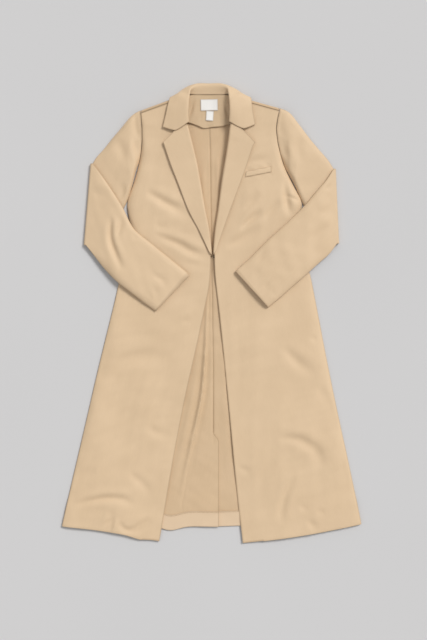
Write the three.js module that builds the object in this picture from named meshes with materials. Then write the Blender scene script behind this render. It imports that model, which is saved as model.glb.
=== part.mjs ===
// A long blazer laid flat on its back, its sleeves folded at the elbow over the fronts.
// Millimetres, +Z up. The origin lies on the surface under the middle of the garment,
// +Y points to the collar and +X to the viewer's right. Left and right are the viewer's.
import * as THREE from 'three';

// Driving dimensions
const WALL = 1.2; // cloth thickness
const SEAM_GAP = 0.3; // between two pieces where they are sewn
const LAYER = WALL + SEAM_GAP; // from the middle of one cloth to the middle of the next
const COLLAR_LAYER = LAYER + 0.5; // the same at the collar's tight roll
const BACK_Z = WALL / 2; // middle of the cloth that rests on the surface
const FALL_Z = BACK_Z + COLLAR_LAYER; // under collar behind the neck
const HEM_DEPTH = 40; // turned-up hem
const HEM_FOLD = 0.95; // radius of the hem's fold, to the middle of the cloth
const FACING_FROM = 0.84; // share of a front's width where its facing starts
const ELBOW_FOLD = 5.5; // radius of the sleeve's fold at the elbow
const ROUNDED = 0.13; // share of a panel's width taken up by its rounded edge
const LAPEL_LIFT = 4; // lapel's edge above the chest, at least
const ROLL_KEPT = 0.6; // share of the roll's height that the lapel's edge keeps
const WELT = { thickness: 1.2, lift: 2.4, bottom: [[161, 380], [90, 366]], top: [[160, 395], [93, 381]] };
const LABEL = { width: 46, height: 30, thickness: 1, x: -6.5, y: 561, turn: 0.02 };
const TAB = { width: 20, height: 26, thickness: 1, x: -5, y: 532, turn: -0.06 };
const WIRE = 1.3; // hook and eye wire, across
const CLOSING = { x: 2.2, y: 153, z: 4.4 }; // where the hook holds the eye, under the front edges
const EYE = [[8, 2.4, 0], [3, 2.6, 0], [-0.6, 0, 0], [3, -2.6, 0], [8, -2.4, 0]]; // from the closing
const HOOK = [[-9, 0, 0.2], [-3, 0, 0.6], [1.6, 0, 2.6], [2.9, 0, 1.4], [2.6, 0, -0.6]];

const CLOTH = { color: 0xdbc0a0, roughness: 0.72, metalness: 0 };
const INSIDE = { color: 0xd3b794, roughness: 0.78, metalness: 0 };
const LABEL_TAPE = { color: 0xf1efea, roughness: 0.6, metalness: 0 };
const DARK_METAL = { color: 0x4a443e, roughness: 0.35, metalness: 0.9 };

// Fronts, hem to shoulder: side seam or armhole, then front edge, roll line or neck seam.
const FRONT = table(
  ['level', 'sideZ', 'midZ', 'edgeZ', 'roll', 'leftSide', 'leftEdge', 'rightSide', 'rightEdge'],
  ['hem', 6, 10.4, 8.8, 0, [-403, -573], [-141, -614], [403, -567], [84, -619]],
  ['hem top', 6, 10.2, 8.6, 0, [-393, -528], [-133, -568], [394, -522], [79, -574]],
  ['shin', 2.4, 8.6, 7.6, 0, [-382, -479], [-125, -520], [384, -474], [73, -522]],
  ['knee', 2.4, 9, 7.6, 0, [-360, -385], [-108, -420], [365, -385], [63, -425]],
  ['above knee', 2.4, 9.4, 7.6, 0, [-335, -278], [-88, -312], [342, -280], [53, -318]],
  ['thigh', 2.4, 9.4, 7.6, 0, [-309, -165], [-66, -202], [318, -165], [42, -205]],
  ['upper thigh', 2.4, 9, 7.6, 0, [-283, -58], [-41, -92], [297, -58], [31, -92]],
  ['hip', 2.4, 8.8, 7.6, 0, [-260, 36], [-19, 12], [279, 36], [20, 12]],
  ['high hip', 2.4, 8.8, 7.8, 0, [-247, 95], [-6, 80], [266, 100], [12, 80]],
  ['closing', 2.4, 9, 8, 1.6, [-231, 160], [0.4, 159], [247, 160], [4.4, 160]],
  ['waist', 2.4, 10, 9, 2.6, [-219, 225], [-5, 217], [231, 215], [8, 217]],
  ['ribs', 2.4, 11.5, 10, 3.2, [-227, 290], [-17, 280], [243, 290], [17, 280]],
  ['bust', 2.4, 13, 12, 3.2, [-207, 360], [-29, 350], [220, 345], [26, 350]],
  ['underarm', 3, 15, 14, 3.2, [-194, 408], [-38, 400], [196, 394], [34, 400]],
  ['low armhole', 9, 17, 15.5, 3.2, [-189, 434], [-45, 430], [184, 430], [39, 430]],
  ['mid armhole', 15, 19, 17.5, 3.2, [-186, 465], [-53, 462], [176, 465], [44, 464]],
  ['gorge', 18, 20, 19, 2.6, [-186, 496], [-64, 506], [173, 496], [50, 508]],
  ['high armhole', 19.5, 21, 20.5, 0, [-188, 519], [-74, 540], [176, 521], [60, 540]],
  ['shoulder', 20.5, 21.5, 21.5, 0, [-189, 537], [-80, 577], [181, 543], [68, 574]],
);

// Outer edge of each lapel, from the closing up to its tip. Notch is how far the gorge
// bends off the straight line between roll and tip.
const LAPEL = table(
  ['level', 'left', 'right', 'notch'],
  ['closing', [-7, 166], [12, 170], 0],
  ['waist', [-31, 218], [29, 218], 0],
  ['ribs', [-62, 277], [51, 280], 0],
  ['bust', [-91, 352], [78, 352], 0],
  ['underarm', [-109, 398], [95, 400], 0],
  ['low armhole', [-118, 424], [104, 428], 0],
  ['mid armhole', [-125, 445], [111, 449], 0],
  ['gorge', [-130, 459], [117, 458], 6],
);

// Back, hem to underarm. Overlap is how far each half passes the centre seam in the vent, raised
// how far the left half lies above the surface there.
const BACK = table(
  ['level', 'neckShare', 'leftSide', 'rightSide', 'centreY', 'overlap', 'raised'],
  ['hem', 0.5, [-402, -566], [402, -562], -574, 15, 3.6],
  ['hem top', 0.5, [-393, -523], [394, -517], -530, 15, 3.6],
  ['shin', 0.5, [-382, -476], [384, -471], -480, 15, 1.7],
  ['vent top', 0.5, [-350, -345], [357, -345], -345, 15, 1.7],
  ['above vent', 0.5, [-345, -320], [351, -320], -320, 0, 1.7],
  ['thigh', 0.5, [-309, -165], [318, -165], -165, 0, 0],
  ['hip', 0.5, [-260, 36], [279, 36], 36, 0, 0],
  ['closing', 0.5, [-231, 160], [247, 160], 160, 0, 0],
  ['waist', 0.5, [-219, 225], [231, 215], 220, 0, 0],
  ['ribs', 0.5, [-227, 290], [243, 290], 290, 0, 0],
  ['bust', 0.5, [-207, 360], [221, 345], 360, 0, 0],
  ['underarm', 0.55, [-194, 408], [196, 394], 420, 0, 0],
  ['low armhole', 0.56, [-189, 434], [184, 430], 448, 0, 0],
  ['mid armhole', 0.57, [-186, 465], [176, 465], 480, 0, 0],
  ['high armhole', 0.57, [-186, 496], [173, 496], 508, 0, 0],
);
// Where the back turns over the shoulder to its seam: distances beyond the seam, heights at
// the armhole and at the neck, and the centre's own place.
const SHOULDER_TURN = table(
  ['beyond', 'sideZ', 'neckZ', 'turnZ', 'centreZ', 'centreY'],
  [-26, 0.6, 0.6, 0.6, 0.6, 532],
  [-14, 0.6, 4.8, 4.8, 4.6, 560],
  [5, 4, 7, 6, 4.9, 568],
  [8.6, 11, 13, 7.5, 5.2, 576],
  [6, 18, 19, 9.5, 5.4, 582],
  [1, 20.6, 21.6, 12, 5.6, 587],
);
const NECK_POINT = { left: [-80, 577], right: [68, 574] };
const NECK_TURN = { left: [-62, 587], right: [48, 587] };
// Centre seam's x at the neck, and from levelY down.
const CENTRE_BACK = { top: -6, bottom: 4.5, levelY: -130, neckY: 587 };
const VENT_SHARE = 0.9; // share of a back half's width past which it may lie raised
const TURN_FOLLOWS = 0.9; // how much of the centre's drop the back takes at the neck's turn
const SHOULDER_EDGE = [[4, 19], [9, 11.5]]; // armhole over the shoulder: y beyond its top, height

// Sleeves. Ends a and b of each section: a runs along the shoulder side and then the top of the
// forearm, b along the body side and then the bottom of the forearm. outerZ is the height of the
// layer that ends up outside at the elbow, loft the room between the two layers.
const UPPER_ARM = table(
  ['level', 'outerZ', 'loft', 'aZ', 'bZ', 'leftA', 'leftB', 'rightA', 'rightB'],
  ['armhole', BACK_Z, 17, 10, BACK_Z, [-191, 545], [-194, 408], [183, 551], [196, 394]],
  ['cap', BACK_Z, 21, 9, BACK_Z, [-214, 531], [-204, 385], [207, 540], [210, 371]],
  ['upper arm', BACK_Z, 17, 5, BACK_Z, [-243, 499], [-213, 350], [236, 507], [223.5, 346]],
  ['middle arm', BACK_Z, 13, 2, BACK_Z, [-266, 473], [-228, 303], [264, 471], [239, 312]],
  ['above elbow', BACK_Z, 9, BACK_Z, BACK_Z, [-290, 443], [-254, 257], [292, 438], [262, 268]],
  ['elbow', BACK_Z, 5.5, BACK_Z, BACK_Z, [-312, 418], [-300, 215], [315, 411], [303, 225]],
);
const ELBOW = { loft: 3.8, leftA: [-326, 403], leftB: [-344, 184], rightA: [334, 389], rightB: [343, 188] };
const FOREARM = table(
  ['level', 'outerZ', 'loft', 'aZ', 'bZ', 'leftA', 'leftB', 'rightA', 'rightB'],
  ['elbow', 15.5, 5, 13, 11, [-303, 380], [-318, 158], [310, 360], [316, 160]],
  ['below elbow', 20, 6, 15.5, 11, [-272, 336], [-290, 122], [282, 327], [288, 135]],
  ['forearm', 23, 8.5, 16.5, 14, [-240, 285], [-255, 86], [249, 288], [257, 107]],
  ['low forearm', 23, 8.8, 16.5, 15.5, [-210, 228], [-222, 60], [205, 245], [222, 77]],
  ['above wrist', 22, 8.5, 15.5, 15, [-163, 188], [-195, 39], [150, 195], [190, 48]],
  ['wrist', 21.5, 8.5, 15, 14.5, [-110, 145], [-170, 20], [98, 143], [166, 28]],
  ['cuff', 21, 8.5, 14.5, 14, [-59, 103], [-150, 6], [64, 113], [152, 16]],
);

// Under collar, round the neck from the left gorge to the right one: neck seam, roll, the leaf's
// middle or its turn behind the neck, and its outer edge.
const COLLAR = table(
  ['seam', 'roll', 'turn', 'edge'],
  [[-65, 510.5, 23.4], [-63, 512, 27.5], [-98, 490, 26.4], [-131, 499, 24.6]],
  [[-69, 528, 23.6], [-65, 530, 31], [-96, 530, 29.5], [-123, 530, 25.2]],
  [[-73, 550, 24], [-64, 552, 33.5], [-92, 558, 30], [-117, 557, 26]],
  [[-77, 570, 24.4], [-62.5, 572, 32.5], [-88, 585, 27], [-110, 578, 19.5]],
  [[-76, 583, 23.5], [-60, 590, 29], [-84, 595, 14], [-99, 579, FALL_Z]],
  [[-63, 589.5, 14.6], [-54, 605, 20.5], [-67.5, 606.5, 8], [-71, 566, FALL_Z]],
  [[-42, 589.5, 9.5], [-37, 613, 14], [-40, 616, 6], [-42, 563, FALL_Z]],
  [[-7, 589.5, 7.4], [-7, 614, 11.5], [-7, 616.5, 6], [-7, 562, FALL_Z]],
  [[28, 589.5, 9.5], [24, 613, 14], [28, 616, 6], [30, 563, FALL_Z]],
  [[49, 589.5, 14.6], [42, 605, 20.5], [57, 605, 8], [60, 565, FALL_Z]],
  [[64, 580.5, 23.5], [47, 590, 29], [75, 594, 14], [88, 577.5, FALL_Z]],
  [[64, 568, 24.4], [49, 570, 32.5], [79, 585, 26.5], [104, 577.5, 19]],
  [[59, 550, 24], [50, 552, 33.5], [80, 560, 30], [108, 558, 26]],
  [[54, 529, 23.6], [50, 531, 31], [83, 532, 29.5], [112, 531, 25.2]],
  [[51, 512, 23.4], [48.5, 513.5, 27.5], [87, 495, 26.4], [117, 506, 24.6]],
);

// Back neck facing: one row of places along its neck edge and one along its lower edge.
const NECK_FACING = table(
  ['top', 'bottom'],
  [[-77, 571, 18], [-84, 512, 6.5]],
  [[-60, 583, 15], [-63, 514, 6.6]],
  [[-42, 585.5, 12], [-40, 507, 5]],
  [[-20, 585.5, 9.4], [-20, 499, 5.6]],
  [[2, 585.5, 9], [2, 502, 4.6]],
  [[28, 585.5, 12], [26, 504, 6]],
  [[46, 583, 15], [48, 509, 6.4]],
  [[64, 568, 18], [72, 508, 6.5]],
);
const NECK_FACING_SAG = 1.2;
const LABEL_LIFT = 1.9; // middle of the label above the middle of the facing

const ARMHOLE_EASE = { armhole: 1, cap: 0.35 }; // how closely a section follows the armhole seam
const COLLAR_STATIONS = (COLLAR.length - 1) * 2;
const COLLAR_STEPS = 7;
const BODY_COLUMNS = [0, 0.02, 0.06, 0.13, 0.26, 0.42, 0.57, 0.7, FACING_FROM, 0.92, 1];
const ROLL_TURNS = [60, 120, 180];
const LAPEL_COLUMNS = [0.25, 0.5, 0.75, 1];
const BACK_STEPS = [4, 2, 2]; // columns between one station of a back half and the next
const SLEEVE_COLUMNS = [0, 0.03, 0.13, 0.35, 0.6, 0.87, 0.97, 1];
const WIRE_STEPS = 14;
const ELBOW_TURNS = [0, 45, 90, 135, 180];
const ARMHOLE_FROM = 390; // no front's armhole reaches below this y
const SEAM_BESIDE = 1.6; // sleeve's edge beyond the armhole's, along x

function table(names, ...rows) {
  return rows.map((row) => Object.fromEntries(names.map((name, i) => [name, row[i]])));
}

function mix(a, b, share) {
  return a + (b - a) * share;
}

function mixPoint(a, b, share) {
  return new THREE.Vector3(mix(a[0], b[0], share), mix(a[1], b[1], share), 0);
}

// 0 at the edge of a panel, 1 past its rounded edge, along a quarter of a circle.
function rounded(share, width = ROUNDED) {
  const left = 1 - Math.min(share / width, 1);
  return Math.sqrt(1 - left * left);
}

function eased(share) {
  const s = Math.min(Math.max(share, 0), 1);
  return s * s * (3 - 2 * s);
}

// A grid is rows of points with has(row, column) telling which cells hold cloth.
function makeGrid(points, has = () => true) {
  return { points, has };
}

function cellsOf({ points, has }) {
  const cells = [];
  for (let j = 0; j + 1 < points.length; j++) {
    for (let i = 0; i + 1 < points[0].length; i++) {
      if (has(j, i)) cells.push([j, i]);
    }
  }
  return cells;
}

function normalsOf(grid) {
  const { points } = grid;
  const normals = points.map((row) => row.map(() => new THREE.Vector3()));
  for (const [j, i] of cellsOf(grid)) {
    const across = points[j + 1][i + 1].clone().sub(points[j][i]);
    const back = points[j + 1][i].clone().sub(points[j][i + 1]);
    const normal = across.cross(back).normalize();
    for (const [dj, di] of [[0, 0], [0, 1], [1, 0], [1, 1]]) normals[j + dj][i + di].add(normal);
  }
  normals.forEach((row) => row.forEach((normal) => normal.normalize()));
  return normals;
}

// The same grid moved along its own normals, for a layer that lies on it.
function moved(grid, distance, has = grid.has) {
  const normals = normalsOf(grid);
  const points = grid.points.map((row, j) => row.map((point, i) => {
    return point.clone().addScaledVector(normals[j][i], distance);
  }));
  return makeGrid(points, has);
}

// Keeps a grid's points at or above a height.
function noLower(grid, lowest) {
  grid.points.forEach((row) => row.forEach((point) => {
    point.z = Math.max(point.z, lowest);
  }));
  return grid;
}

// A closed wall of cloth round a grid.
function cloth(grid, thickness = WALL) {
  const { points, has } = grid;
  const normals = normalsOf(grid);
  const columns = points[0].length;
  const layer = points.length * columns;
  const position = [];
  for (const side of [1, -1]) {
    points.forEach((row, j) => row.forEach((point, i) => {
      const place = point.clone().addScaledVector(normals[j][i], side * thickness / 2);
      position.push(place.x, place.y, place.z);
    }));
  }
  const at = (j, i) => j * columns + i;
  const index = [];
  const wall = (from, to) => {
    index.push(from, from + layer, to, to, from + layer, to + layer);
  };
  const held = (j, i) => {
    return j >= 0 && i >= 0 && j + 1 < points.length && i + 1 < columns && has(j, i);
  };
  for (const [j, i] of cellsOf(grid)) {
    const [a, b, c, d] = [at(j, i), at(j, i + 1), at(j + 1, i + 1), at(j + 1, i)];
    index.push(a, b, c, a, c, d);
    index.push(a + layer, c + layer, b + layer, a + layer, d + layer, c + layer);
    if (!held(j - 1, i)) wall(a, b);
    if (!held(j, i + 1)) wall(b, c);
    if (!held(j + 1, i)) wall(c, d);
    if (!held(j, i - 1)) wall(d, a);
  }
  return used(position, index);
}

// Geometry with only the vertices that its faces use.
function used(position, index) {
  const numbers = new Map();
  const kept = [];
  const faces = index.map((vertex) => {
    if (!numbers.has(vertex)) {
      numbers.set(vertex, numbers.size);
      kept.push(...position.slice(vertex * 3, vertex * 3 + 3));
    }
    return numbers.get(vertex);
  });
  const geometry = new THREE.BufferGeometry();
  geometry.setAttribute('position', new THREE.Float32BufferAttribute(kept, 3));
  geometry.setIndex(faces);
  return geometry;
}

// Height of a front across its width: rounded at the side, easing to the front edge.
function frontHeight(row, share) {
  const fromSide = mix(row.sideZ, row.midZ, rounded(share));
  return fromSide + (row.edgeZ - row.midZ) * eased((share - 0.5) * 2);
}

function rollReach(row) {
  return row.roll ? row.roll + LAYER + WALL / 2 : 0;
}

function frontRow(row, side) {
  const seam = row[`${side}Side`];
  const edge = row[`${side}Edge`];
  const start = new THREE.Vector3(seam[0], seam[1], 0);
  const toEdge = new THREE.Vector3(edge[0] - seam[0], edge[1] - seam[1], 0);
  const width = toEdge.length() - rollReach(row);
  toEdge.normalize();
  const points = BODY_COLUMNS.map((share) => {
    const point = start.clone().addScaledVector(toEdge, width * share);
    point.z = frontHeight(row, share);
    return point;
  });
  return { points, toEdge, width };
}

// The under-lapel: round the roll, then back over the chest to the lapel's edge.
function lapelRow(row, lapel, side, body) {
  const roll = body.points.at(-1);
  const tip = lapel[side];
  const away = new THREE.Vector3(tip[0] - roll.x, tip[1] - roll.y, 0);
  const points = ROLL_TURNS.map((turn) => {
    const angle = THREE.MathUtils.degToRad(turn);
    const point = roll.clone().addScaledVector(body.toEdge, row.roll * Math.sin(angle));
    point.z += row.roll * (1 - Math.cos(angle));
    return point;
  });
  for (const share of LAPEL_COLUMNS) {
    const point = roll.clone().addScaledVector(away, share);
    point.y += lapel.notch * (1 - Math.abs(share - 0.5) * 2);
    const under = frontHeight(row, 1 - share * away.length() / body.width);
    point.z = under + mix(2 * row.roll, Math.max(LAPEL_LIFT, ROLL_KEPT * 2 * row.roll), share);
    points.push(point);
  }
  return points;
}

// Three rows that turn a hem back on itself, before the hem's own row.
function turnedHem(hem, above, side) {
  const top = hem.map((point, i) => {
    const up = above[i].clone().sub(point);
    return point.clone().addScaledVector(up, HEM_DEPTH / up.length());
  });
  const lift = (row, dy, dz) => row.map((point) => point.clone().add(new THREE.Vector3(0, dy, dz)));
  return [
    lift(top, 0, side * 2 * HEM_FOLD),
    lift(hem, 0, side * 2 * HEM_FOLD),
    lift(hem, -HEM_FOLD, side * HEM_FOLD),
  ];
}

function frontGrid(side) {
  const rows = FRONT.map((row) => {
    const body = frontRow(row, side);
    const lapel = LAPEL.find((entry) => entry.level === row.level);
    const folded = lapel ? lapelRow(row, lapel, side, body) : null;
    return { points: body.points, folded };
  });
  const lapelColumns = ROLL_TURNS.length + LAPEL_COLUMNS.length;
  const filled = rows.map(({ points, folded }) => {
    return [...points, ...(folded ?? Array(lapelColumns).fill(points.at(-1)))];
  });
  const hem = turnedHem(filled[0], filled[1], -1);
  const hemRows = hem.length;
  const first = hemRows + FRONT.findIndex((row) => row.level === LAPEL[0].level);
  const last = hemRows + FRONT.findIndex((row) => row.level === LAPEL.at(-1).level);
  const facingColumn = BODY_COLUMNS.indexOf(FACING_FROM);
  const bodyCells = BODY_COLUMNS.length - 1;
  const points = [...hem, ...filled];
  const onLapel = (j) => j >= first && j < last;
  const front = makeGrid(points, (j, i) => {
    if (j < hemRows) return i < facingColumn - 1;
    return i < bodyCells || onLapel(j);
  });
  const facingCells = (j, i) => {
    return j >= hemRows && j < last && i >= facingColumn && (i < bodyCells || onLapel(j));
  };
  const inside = side === 'left' ? -LAYER : LAYER;
  return { front, facing: moved(front, inside, facingCells) };
}

// Back panels share a table; the centre back seam becomes the vent below its top.
function centreSeam(y) {
  const share = (y - CENTRE_BACK.levelY) / (CENTRE_BACK.neckY - CENTRE_BACK.levelY);
  return y < CENTRE_BACK.levelY ? CENTRE_BACK.bottom : mix(CENTRE_BACK.bottom, CENTRE_BACK.top, share);
}

function backGrid(side) {
  const sign = side === 'left' ? -1 : 1;
  const shoulder = FRONT.at(-1)[`${side}Side`];
  const rows = BACK.map((row) => {
    const seam = row[`${side}Side`];
    const x = centreSeam(row.centreY) + sign * (SEAM_GAP / 2 - row.overlap);
    const innerZ = BACK_Z + (side === 'left' ? row.raised : 0);
    return { stations: [
      [seam[0], seam[1], BACK_Z],
      [mix(seam[0], x, row.neckShare), mix(seam[1], row.centreY, row.neckShare), BACK_Z],
      [mix(seam[0], x, VENT_SHARE), mix(seam[1], row.centreY, VENT_SHARE), innerZ],
      [x, row.centreY, innerZ],
    ] };
  });
  for (const row of SHOULDER_TURN) {
    const neck = NECK_POINT[side];
    const turn = NECK_TURN[side];
    const drop = (CENTRE_BACK.neckY - row.centreY) * TURN_FOLLOWS;
    rows.push({ stations: [
      [armholeAt(side, shoulder[1] + row.beyond).x, shoulder[1] + row.beyond, row.sideZ],
      [neck[0], neck[1] + row.beyond, row.neckZ],
      [turn[0], turn[1] - drop, row.turnZ],
      [centreSeam(row.centreY) + sign * SEAM_GAP / 2, row.centreY, row.centreZ],
    ] });
  }
  const points = rows.map(({ stations }) => {
    const places = [];
    BACK_STEPS.forEach((count, k) => {
      for (let s = 0; s < count; s++) {
        const share = s / count;
        places.push(new THREE.Vector3(...stations[k]).lerp(new THREE.Vector3(...stations[k + 1]), share));
      }
    });
    places.push(new THREE.Vector3(...stations.at(-1)));
    return places;
  });
  const hem = turnedHem(points[0], points[1], 1);
  return makeGrid([...hem, ...points]);
}

// The front's armhole seam at a height y, and over the shoulder to where the back turns.
function armholeAt(side, y) {
  const seam = FRONT.filter((row) => row[`${side}Side`][1] > ARMHOLE_FROM).map((row) => {
    return [...row[`${side}Side`], row.sideZ];
  });
  const [x, top] = seam.at(-1);
  seam.push(...SHOULDER_EDGE.map(([beyond, z]) => [x, top + beyond, z]));
  const k = Math.min(Math.max(seam.findIndex((point) => point[1] > y), 1), seam.length - 1);
  const share = (y - seam[k - 1][1]) / (seam[k][1] - seam[k - 1][1]);
  return new THREE.Vector3(...seam[k - 1]).lerp(new THREE.Vector3(...seam[k]), share);
}

// One section of a sleeve's outer layer, and the way to its inner layer.
function sleeveRow(row, side, inward) {
  const a = row[`${side}A`];
  const b = row[`${side}B`];
  const ease = ARMHOLE_EASE[row.level] ?? 0;
  const beside = side === 'left' ? -SEAM_BESIDE : SEAM_BESIDE;
  const outer = SLEEVE_COLUMNS.map((share) => {
    const point = mixPoint(a, b, share);
    if (row.level === 'armhole') point.x = armholeAt(side, point.y).x + beside;
    const atA = 1 - rounded(share);
    const atB = 1 - rounded(1 - share);
    point.z = row.outerZ + (row.aZ - row.outerZ) * atA + (row.bZ - row.outerZ) * atB;
    return point;
  });
  const apart = SLEEVE_COLUMNS.map((share, i) => {
    const open = Math.min(rounded(share), rounded(1 - share));
    const toSeam = ease ? Math.max(armholeAt(side, outer[i].y).z - outer[i].z, LAYER) : 0;
    return mix(mix(LAYER, row.loft, open), toSeam, ease);
  });
  return { outer, inner: outer.map((point, i) => point.clone().addScaledVector(inward, apart[i])) };
}

function sleeveGrids(side) {
  const up = new THREE.Vector3(0, 0, 1);
  const down = new THREE.Vector3(0, 0, -1);
  const toBody = new THREE.Vector3(side === 'left' ? 1 : -1, 0, 0);
  const rows = UPPER_ARM.map((row) => sleeveRow(row, side, up));
  for (const turn of ELBOW_TURNS) {
    const angle = THREE.MathUtils.degToRad(turn);
    const inward = up.clone().multiplyScalar(Math.cos(angle)).addScaledVector(toBody, Math.sin(angle));
    const z = BACK_Z + ELBOW_FOLD * (1 - Math.cos(angle));
    const fold = { outerZ: z, loft: ELBOW.loft, aZ: z, bZ: z };
    for (const end of ['A', 'B']) {
      const [x, y] = ELBOW[`${side}${end}`];
      fold[`${side}${end}`] = [x + toBody.x * ELBOW_FOLD * (1 - Math.sin(angle)), y];
    }
    rows.push(sleeveRow(fold, side, inward));
  }
  rows.push(...FOREARM.map((row) => sleeveRow(row, side, down)));
  return {
    under: makeGrid(rows.map((row) => row.outer)),
    top: makeGrid(rows.map((row) => row.inner)),
  };
}

function collarGrid() {
  const lines = ['seam', 'roll', 'turn', 'edge'].map((line) => {
    const places = COLLAR.map((row) => new THREE.Vector3(...row[line]));
    return new THREE.CatmullRomCurve3(places, false, 'centripetal').getPoints(COLLAR_STATIONS);
  });
  const points = lines[0].map((_, station) => {
    const places = lines.map((line) => line[station]);
    return new THREE.CatmullRomCurve3(places, false, 'centripetal').getPoints(COLLAR_STEPS);
  });
  return noLower(makeGrid(points), FALL_Z);
}

function neckFacingGrid() {
  const shares = [0, 0.33, 0.67, 1];
  const points = NECK_FACING.map((row) => shares.map((share) => {
    const place = new THREE.Vector3(...row.top).lerp(new THREE.Vector3(...row.bottom), share);
    place.z -= NECK_FACING_SAG * Math.sin(Math.PI * share);
    return place;
  }));
  return makeGrid(points);
}

// The point of a front nearest to x, y on its rows, lifted off the cloth.
function onFront(side, x, y, lift) {
  const k = FRONT.findIndex((row) => row[`${side}Side`][1] > y);
  const [low, high] = [FRONT[k - 1], FRONT[k]];
  const share = (y - low[`${side}Side`][1]) / (high[`${side}Side`][1] - low[`${side}Side`][1]);
  const heights = [low, high].map((row) => {
    const from = row[`${side}Side`][0];
    return frontHeight(row, (x - from) / (row[`${side}Edge`][0] - from));
  });
  return new THREE.Vector3(x, y, mix(heights[0], heights[1], share) + lift);
}

function weltGrid() {
  const shares = [0, 0.25, 0.5, 0.75, 1];
  const points = ['bottom', 'top'].map((edge) => shares.map((share) => {
    const place = mixPoint(WELT[edge][0], WELT[edge][1], share);
    return onFront('right', place.x, place.y, WELT.lift);
  }));
  return makeGrid(points);
}

function neckFacingHeight(x, y) {
  const k = NECK_FACING.findIndex((row) => row.top[0] > x);
  const [low, high] = [NECK_FACING[k - 1], NECK_FACING[k]];
  const across = (x - low.top[0]) / (high.top[0] - low.top[0]);
  const top = mix(low.top[2], high.top[2], across);
  const bottom = mix(low.bottom[2], high.bottom[2], across);
  const topY = mix(low.top[1], high.top[1], across);
  const down = (topY - y) / (topY - mix(low.bottom[1], high.bottom[1], across));
  return mix(top, bottom, down) - NECK_FACING_SAG * Math.sin(Math.PI * down);
}

// A flat tape sewn on the neck facing.
function tape({ width, height, x, y, turn }, lift) {
  const points = [-0.5, 0, 0.5].map((v) => [-0.5, -0.17, 0.17, 0.5].map((u) => {
    const place = new THREE.Vector3(u * width, v * height, 0);
    place.applyAxisAngle(new THREE.Vector3(0, 0, 1), turn);
    place.add(new THREE.Vector3(x, y, 0));
    place.z = neckFacingHeight(place.x, place.y) + lift;
    return place;
  }));
  return makeGrid(points);
}

// A bent wire with flat ends along a smooth path, its places counted from the closing.
function wire(offsets) {
  const closing = new THREE.Vector3(CLOSING.x, CLOSING.y, CLOSING.z);
  const places = offsets.map((offset) => new THREE.Vector3(...offset).add(closing));
  const extrudePath = new THREE.CatmullRomCurve3(places, false, 'centripetal');
  const section = new THREE.Shape();
  section.absarc(0, 0, WIRE / 2, 0, Math.PI * 2);
  const options = { steps: WIRE_STEPS, curveSegments: 4, extrudePath, bevelEnabled: false };
  return new THREE.ExtrudeGeometry(section, options);
}

const blazer = new THREE.Group();

function add(name, geometry, finish) {
  geometry.computeVertexNormals();
  const mesh = new THREE.Mesh(geometry, new THREE.MeshStandardMaterial(finish));
  mesh.name = name;
  blazer.add(mesh);
}

for (const side of ['left', 'right']) {
  const { front, facing } = frontGrid(side);
  const sleeve = sleeveGrids(side);
  add(`back_${side}`, cloth(backGrid(side)), INSIDE);
  add(`front_${side}`, cloth(front), CLOTH);
  add(`front_facing_${side}`, cloth(facing), CLOTH);
  add(`top_sleeve_${side}`, cloth(sleeve.top), CLOTH);
  add(`under_sleeve_${side}`, cloth(sleeve.under), CLOTH);
}

const underCollar = collarGrid();
add('under_collar', cloth(underCollar), CLOTH);
add('top_collar', cloth(noLower(moved(underCollar, -COLLAR_LAYER), BACK_Z)), CLOTH);
add('back_neck_facing', cloth(neckFacingGrid()), INSIDE);
add('breast_welt', cloth(weltGrid(), WELT.thickness), CLOTH);
add('neck_label', cloth(tape(LABEL, LABEL_LIFT), LABEL.thickness), LABEL_TAPE);
add('size_tab', cloth(tape(TAB, LABEL_LIFT), TAB.thickness), LABEL_TAPE);
add('eye', wire(EYE), DARK_METAL);
add('hook', wire(HOOK), DARK_METAL);

export default blazer;
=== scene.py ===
# Long blazer laid flat on its back, sleeves folded at the elbow over the fronts.
# Tables are in millimetres in the garment's own frame; everything built is in metres.
import math
import bpy
import numpy as np
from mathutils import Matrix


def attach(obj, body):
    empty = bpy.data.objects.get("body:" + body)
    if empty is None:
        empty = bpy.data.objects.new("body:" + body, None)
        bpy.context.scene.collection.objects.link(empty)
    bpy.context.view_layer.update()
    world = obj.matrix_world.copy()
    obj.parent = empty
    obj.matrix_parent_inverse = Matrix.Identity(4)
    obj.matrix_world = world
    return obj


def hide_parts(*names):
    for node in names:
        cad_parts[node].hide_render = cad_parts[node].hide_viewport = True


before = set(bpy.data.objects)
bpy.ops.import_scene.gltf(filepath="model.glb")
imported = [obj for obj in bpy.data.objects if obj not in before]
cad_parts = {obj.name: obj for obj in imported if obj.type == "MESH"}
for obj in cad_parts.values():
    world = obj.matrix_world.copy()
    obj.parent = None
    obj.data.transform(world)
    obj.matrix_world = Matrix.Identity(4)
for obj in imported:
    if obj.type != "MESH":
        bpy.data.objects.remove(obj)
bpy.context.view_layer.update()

MM = 0.001

# Cloth and construction
WALL = 1.2
LAYER = 1.5
COLLAR_LAYER = 2.0
BACK_Z = 0.6
FALL_Z = BACK_Z + COLLAR_LAYER
SEAM_HALF_GAP = 0.15
SEAM_BESIDE = 1.6
HEM_DEPTH = 40
HEM_FOLD = 0.95
FACING_FROM = 0.84
ELBOW_FOLD = 5.5
ROUNDED = 0.13
LAPEL_LIFT = 4
ROLL_KEPT = 0.6  # share of the roll's height that the lapel's edge keeps
ROW_STEP = 6.0
SLEEVE_ROW_STEP = 5.0
FOLD_TURNS = range(15, 180, 15)
EDGE_POINTS = 12  # columns that share out a panel's rounded edge
ARMHOLE_FROM = 390


def table(names, *rows):
    return [dict(zip(names, row)) for row in rows]


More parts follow.
